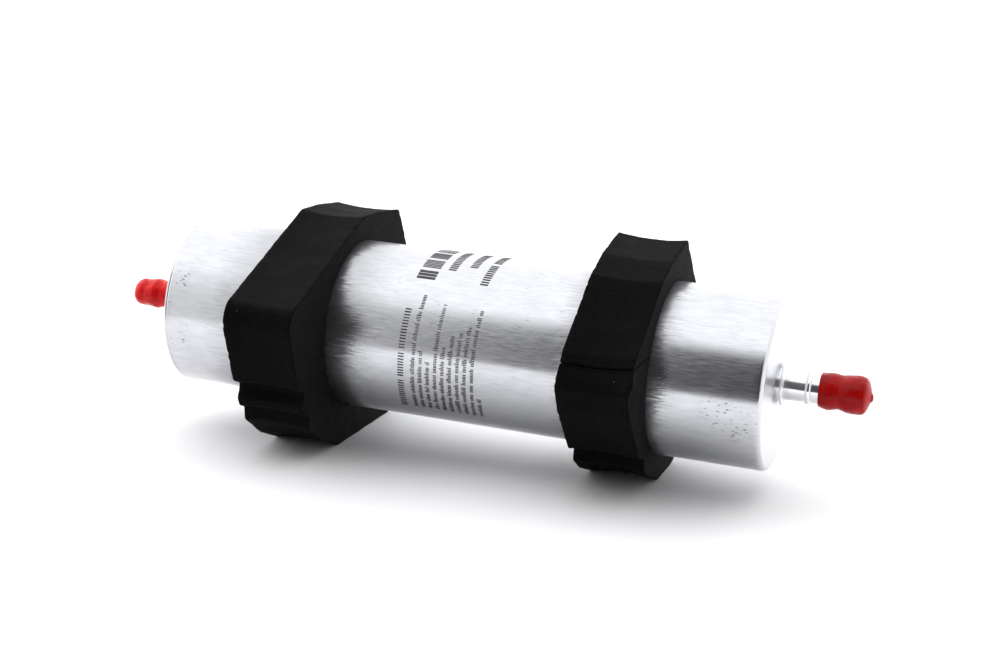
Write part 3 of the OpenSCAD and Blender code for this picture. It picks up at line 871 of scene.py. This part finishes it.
def opened(line, inward, bore, cut_z):
    """The stations of a cut ring, with the cut's lips at both ends. Beside the cut the sweep turns until
    it lies in the cut's plane. Also how much each station turns, and how far the lips' rounding is in."""
    turn = math.pi - math.asin(cut_z / bore)
    steps = np.r_[0, np.cumsum(np.linalg.norm(np.diff(line, axis=0), axis=1))]
    total = steps[-1] + OUTLINE_STEP
    keep = slice(2, -2)
    ends = []
    for at, sign in ((line[0], -1), (line[-1], 1)):
        ends.append([np.array([at[0], cut_z + sign * (CUT_GAP / 2 + e)]) for e in CUT_LIPS])
    down = line[5][1] < cut_z
    head, tail = (ends[0], ends[1]) if down else (ends[1], ends[0])
    line = np.vstack([head, line[keep], tail[::-1]])
    lips = len(CUT_LIPS)
    inward = np.vstack([[inward[0]] * lips, inward[keep], [inward[-1]] * lips])
    distance = np.r_[CUT_LIPS, steps[keep], total - np.array(CUT_LIPS[::-1])]
    near = np.minimum(distance, total - distance)
    fade = np.exp(-(near / CUT_REACH) ** 2)
    raw = np.unwrap(np.arctan2(line[:, 1], line[:, 0]))
    start_shift = turn - raw[0] % (2 * math.pi)
    end_shift = turn - raw[-1] % (2 * math.pi)
    angle = raw + np.where(distance < total / 2, start_shift, end_shift) * fade
    toward = np.column_stack([np.cos(angle), np.sin(angle)]) * bore - line
    toward /= np.linalg.norm(toward, axis=1)[:, None]
    inward = inward * (1 - fade[:, None]) + toward * fade[:, None]
    inward /= np.linalg.norm(inward, axis=1)[:, None]
    lip_r = CUT_LIPS[-1]
    arc = lip_r - np.sqrt(np.maximum(0, lip_r ** 2 - (lip_r - near) ** 2))
    return line, inward, angle, fade, np.where(near < lip_r, arc, 0) * LIP_DEPTH


def foam_skin(point, normal, softness, dents, seed):
    """Where a point of the smooth ring ends up: swollen a little, nicked on its edges, never in the
    floor."""
    v = Vector(point)
    swell = 0.14 * noise.noise(v * 0.16 + Vector((seed, 0, 0))) + 0.05 * noise.noise(v * 0.7)
    swell += 0.035 * noise.noise(v * 1.9)
    nick = max(0.0, noise.noise(v * 0.45 + Vector((0, seed, 0))) - 0.15) * softness * 0.5
    for *centre, reach, deep in dents:
        nick += deep * math.exp(-((v - Vector(centre)).length / reach) ** 2)
    v = v + normal * (swell - nick)
    return v.x, v.y, max(v.z, floor_z(v.x))


def make_ring(name, node, body, outline, cut_z, dents, seed):
    """Die-cut foam ring: its section swept round its outline, with soft edges and hollow faces. dents are
    (x, y, z, reach, depth)."""
    low, high = span(node)
    half = (high[0] - low[0]) / 2
    x_mid = (high[0] + low[0]) / 2
    foot = low[2]
    bore = CAN_R + SLIP
    line, inward, angle = stations(outline, cut_z)
    extra = np.zeros(len(line))
    fade = np.zeros(len(line))
    open_ring = cut_z is not None
    if open_ring:
        line, inward, angle, fade, extra = opened(line, inward, bore, cut_z)
    profile = ring_section(half)
    points = []
    for k in range(len(line)):
        inner = bore * np.array([math.cos(angle[k]), math.sin(angle[k])])
        outer_in = line[k] + inward[k] * (EDGE_R + extra[k])
        to_outer = (line[k] - inner) / np.linalg.norm(line[k] - inner)
        inner_out = inner + to_outer * BORE_EDGE_R
        for x, face, depth, on_edge in profile:
            if depth is None:
                at = outer_in * (1 - face) + inner_out * face
            elif face == 0:
                at = line[k] + inward[k] * (depth + extra[k])
            else:
                at = inner + to_outer * depth
            x = x * (1 - extra[k] / half)
            across = x / half
            bend = CUT_TILT * across - CUT_BOW * (2 / 3 - across ** 2)
            near_floor = min(1.0, max(0.0, (foot + FOOT_FROM - at[1]) / FOOT_BLEND))
            lift = fade[k] * bend + near_floor * (floor_z(x_mid + x) - foot)
            direction = -inward[k] if face == 0 and depth is not None else (0, 0)
            sideways = max(0.0, (abs(x) - half + EDGE_R) / EDGE_R) * (1 if x > 0 else -1)
            out = Vector((sideways if face < 1 else 0, *direction))
            if out.length > 0:
                out.normalize()
            points.append(foam_skin((x_mid + x, at[0], at[1] + lift), out, on_edge, dents, seed))
    columns = len(profile)
    faces = grid_faces(len(line), columns, not open_ring, True)
    if open_ring:
        faces.append(tuple(range(columns)))
        faces.append(tuple(range((len(line) - 1) * columns, len(line) * columns))[::-1])
    piece = make_piece(name, points, faces, foam, body, [node])


# A bump under the cut's mouth and two dents below it
INLET_DENTS = ((-35.1, -46.9, 6.0, 2.6, -1.1), (-35.1, -44.0, 1.5, 3.0, 0.7),
               (-35.1, -45.5, -2.0, 2.5, 0.5))
make_ring("inlet_foam", "inlet_foam_ring", "inlet_ring_body", INLET_OUTLINE, CUT_Z, INLET_DENTS,
          seed=3.0)
make_ring("outlet_foam", "outlet_foam_ring", "outlet_ring_body", OUTLET_OUTLINE, None, (), seed=11.0)


# --- Print on the can ------------------------------------------------------------------------

INK_T = 0.03
INK_GAP = 0.01
INK_STEP = 3.0     # degrees round the can from one row of a patch's points to the next, at most
SKEW = 0.02        # the print leans: millimetres along the can per degree round it
BAR_TALL = (0.68, 0.68, 0.72, 1.0)   # heights of a line's bars, of which one is drawn for each


def ink_patches(name, patches):
    """Curved patches of print from (x low, x high, angle low, angle high), in millimetres and degrees."""
    points, faces = [], []
    radius = CAN_R + INK_GAP
    for x0, x1, a0, a1 in patches:
        parts = max(1, int(math.ceil((a1 - a0) / INK_STEP)))
        start = len(points)
        for k in range(parts + 1):
            a = a0 + (a1 - a0) * k / parts
            lean = SKEW * a
            c, s = math.cos(math.radians(a)), math.sin(math.radians(a))
            for x in (x0 + lean, x1 + lean):
                for r in (radius, radius + INK_T):
                    points.append((x, -r * c, r * s))
        for k in range(parts):
            a, b = start + 4 * k, start + 4 * k + 4
            faces += [(a + 1, a + 3, b + 3, b + 1), (a + 2, a, b, b + 2),
                      (a, a + 1, b + 1, b), (a + 3, a + 2, b + 2, b + 3)]
        faces += [(start, start + 2, start + 3, start + 1)]
        end = start + 4 * parts
        faces += [(end + 1, end + 3, end + 2, end)]
    piece = make_piece(name, points, faces, ink, CAN_BODY)
    piece.data.shade_flat()


def dummy_words(x, height, a0, a1, rng, pitch, black, word=(4, 14), mixed=False):
    """One line of stand-in print: upright bars in word-sized groups, no letters. pitch is the distance
    between bars, black the inked share of it, and word the least and most bars of a group. The bars
    of a mixed line aren't all as tall."""
    patches = []
    a = a0
    left = rng.randint(*word)
    degrees = math.degrees(1 / CAN_R)
    while a < a1:
        wide = pitch * black * rng.uniform(0.85, 1.2) * degrees
        tall = height * (rng.choice(BAR_TALL) if mixed else 1.0)
        patches.append((x - tall, x, a, a + wide))
        a += pitch * degrees
        left -= 1
        if left == 0:
            a += pitch * 1.1 * degrees
            left = rng.randint(*word)
    return patches


HEADING = (-113.9, 2.0, -45, 32)     # x, height, angle low, angle high
LINES_X, LINE_STEP = -110.2, 2.47
LINE_HEIGHT = 1.5
LINES_FROM = -44
LINES_TO = (40, 2, -4, 36, 7, 15, 18, 23, 34, -27)
MARK_X = (-116.2, -110.0)
CAPTION_HEIGHT = 2.6
CAPTIONS = ((-104.8, 64, 138), (-98.6, 70, 132), (-92.4, 54, 148))   # x, angle low, angle high


def make_print():
    """A heading and ten lines low on the front, and above them a mark of blocks with three captions."""
    rng = random.Random(7)
    ink_patches("print_heading", dummy_words(*HEADING, rng, pitch=0.95, black=0.42, word=(8, 16)))
    lines = []
    for i, top in enumerate(LINES_TO):
        lines += dummy_words(LINES_X + LINE_STEP * i, LINE_HEIGHT, LINES_FROM, top, rng, pitch=0.56,
                             black=0.48, mixed=True)
    ink_patches("print_lines", lines)
    title = [(*MARK_X, 53 + 2.8 * j, 54.9 + 2.8 * j) for j in range(3)]
    for k in range(5):
        a = 64.0 + 12.0 * k
        title += [(*MARK_X, a + 1.6 * j, a + 1.6 * j + 0.6) for j in range(6)]
    for x, low, high in CAPTIONS:
        title += dummy_words(x, CAPTION_HEIGHT, low, high, rng, pitch=1.1, black=0.4, word=(8, 14))
    ink_patches("print_title", title)


make_print()


# --- Inside the can --------------------------------------------------------------------------

def make_spring():
    """The element's spring as a smooth wound wire with capped ends."""
    low, high = span("element_spring")
    wire = 0.7
    turns = 3.5
    around, per_turn = 16, 48
    coil_r = (high[1] - low[1]) / 2 - wire
    count = int(turns * per_turn)
    points = []
    for i in range(count + 1):
        t = 2 * math.pi * i / per_turn
        x = low[0] + wire + (high[0] - low[0] - 2 * wire) * i / count
        for j in range(around):
            b = 2 * math.pi * j / around
            r = coil_r + wire * math.cos(b)
            points.append((x + wire * math.sin(b), r * math.cos(t), r * math.sin(t)))
    faces = grid_faces(count + 1, around, False, True)
    faces += [tuple(range(around)), tuple(range(count * around, (count + 1) * around))[::-1]]
    make_piece("spring_wire", points, faces, spring_steel, CAN_BODY, ["element_spring"])


make_spring()

# Inner parts that keep their CAD shape, with their material
INSIDE = {
    "flow_diffuser": pressed_steel, "spring_seat": pressed_steel, "inlet_end_disc": pressed_steel,
    "outlet_end_disc": pressed_steel, "centre_tube": pressed_steel, "inlet_potting": resin,
    "outlet_potting": resin, "filter_media": paper, "pleat_bands": band_plastic,
    "outlet_grommet": rubber}
for inner_node, finish in INSIDE.items():
    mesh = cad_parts[inner_node].data
    mesh.materials.clear()
    mesh.materials.append(finish)
